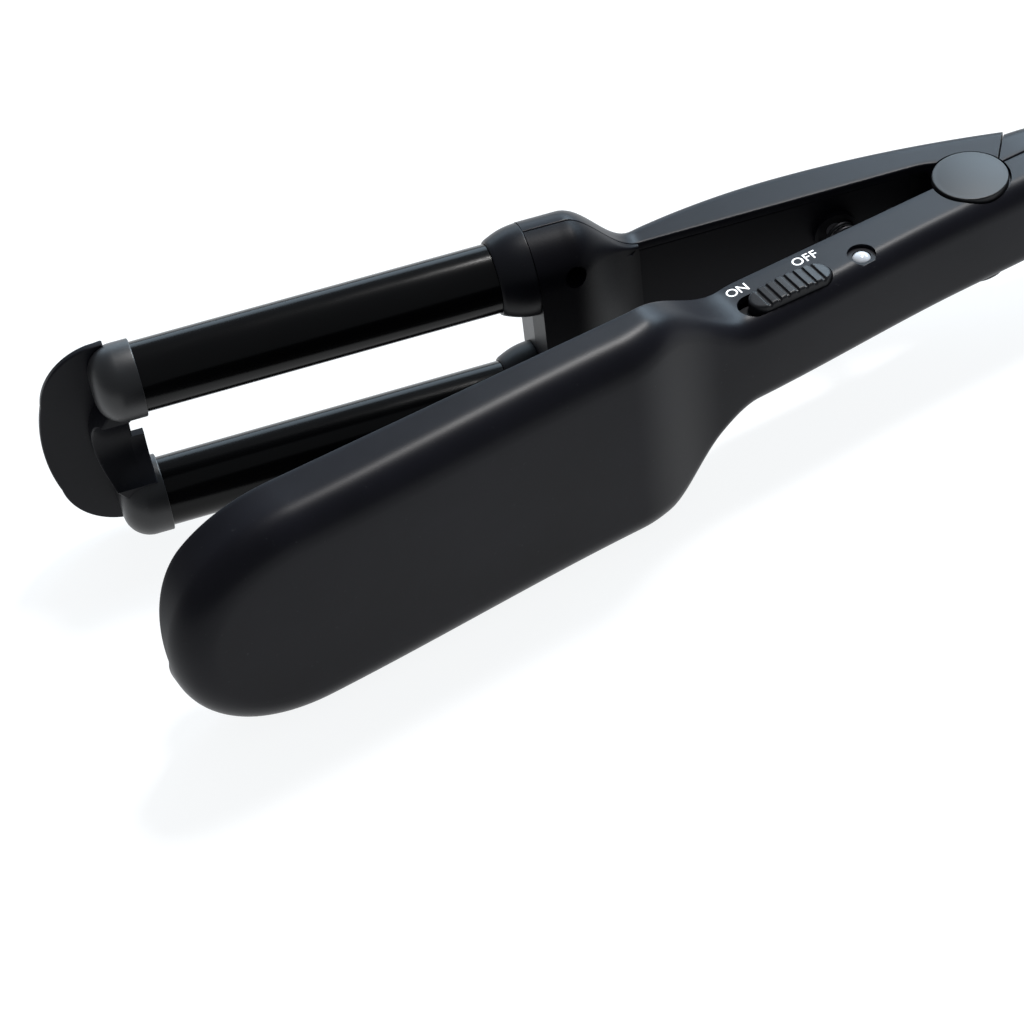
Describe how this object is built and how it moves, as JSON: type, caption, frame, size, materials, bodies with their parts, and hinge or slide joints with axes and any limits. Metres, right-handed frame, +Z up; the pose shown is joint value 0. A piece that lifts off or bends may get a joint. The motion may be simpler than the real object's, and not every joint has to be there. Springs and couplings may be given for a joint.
{
  "type": "hair waver",
  "caption": "Black hair waver lying on its side: a paddle arm with a middle barrel and slide switch, hinged to an arm with two glossy barrels and a tip guard.",
  "frame": {"origin": "centre of the mouth of the cord's inlet, at the tail's end; the waver lies on its side, as it rests on a table", "axes": "+X out of the cord's inlet, so the tip is at -X; +Z up, along the hinge axis; +Y from the paddle arm towards the arm with two barrels"},
  "size_m": [0.3063, 0.0944, 0.0632],
  "materials": {
    "matte_black_shell": "fine matte texture",
    "matte_black_cover": "fine matte texture",
    "matte_black_trim": "satin, heat-resistant",
    "satin_black_cap": "satin",
    "glossy_black_barrel": "glossy ceramic coating on aluminium",
    "switch_black": "matte",
    "clear_lens": "clear, polished",
    "lamp_red": "clear tinted",
    "board_green": "solder mask",
    "chip_black": "matte",
    "capacitor_sleeve": "shrink sleeve",
    "aluminium": "extruded",
    "heater_ceramic": "ceramic",
    "pin_steel": "turned",
    "spring_steel": "drawn wire",
    "dark_screw_steel": "blackened"
  },
  "bodies": {
    "near_arm": {"near_outer_shell": "matte_black_shell", "near_inner_cover": "matte_black_cover", "tail_cover": "matte_black_shell", "tail_screw": "dark_screw_steel", "near_cover_screws": "dark_screw_steel", "middle_barrel": "glossy_black_barrel", "middle_nose": "matte_black_trim", "middle_end_cap": "matte_black_trim", "middle_heater_carrier": "aluminium", "middle_heater": "heater_ceramic", "hinge_pin": "pin_steel", "top_hinge_cap": "satin_black_cap", "bottom_hinge_cap": "satin_black_cap", "jaw_spring": "spring_steel", "switch_body": "switch_black", "lamp_lens": "clear_lens", "lamp": "lamp_red", "circuit_board": "board_green", "capacitor": "capacitor_sleeve", "control_chip": "chip_black", "thermal_fuse": "aluminium"},
    "far_arm": {"far_outer_shell": "matte_black_shell", "clamp_cover": "matte_black_shell", "clamp_screws": "dark_screw_steel", "far_handle_cover": "matte_black_cover", "far_cover_screws": "dark_screw_steel", "upper_nose": "matte_black_trim", "lower_nose": "matte_black_trim", "upper_barrel": "glossy_black_barrel", "lower_barrel": "glossy_black_barrel", "upper_end_cap": "matte_black_trim", "lower_end_cap": "matte_black_trim", "tip_bridge": "matte_black_trim", "tip_guard": "matte_black_trim", "guard_screws": "dark_screw_steel", "upper_heater_carrier": "aluminium", "lower_heater_carrier": "aluminium", "upper_heater": "heater_ceramic", "lower_heater": "heater_ceramic"},
    "switch_slider": {"switch_knob": "switch_black"},
    "swivel": {"cord_swivel": "switch_black"}
  },
  "joints": [
    {"name": "jaw_hinge", "type": "hinge", "parent": "near_arm", "child": "far_arm", "pos_m": [-0.062, 0, 0], "axis": [0, 0, 1], "range_deg": [0, 13.2], "stiffness_Nm_per_rad": 0.7, "springref_deg": -9.74, "deforming": ["jaw_spring"]},
    {"name": "switch_slide", "type": "slide", "parent": "near_arm", "child": "switch_slider", "axis": [-1, 0, 0], "range_m": [0, 0.003]},
    {"name": "swivel_turn", "type": "hinge", "parent": "near_arm", "child": "swivel", "pos_m": [0, 0, 0], "axis": [1, 0, 0], "continuous": true}
  ]
}
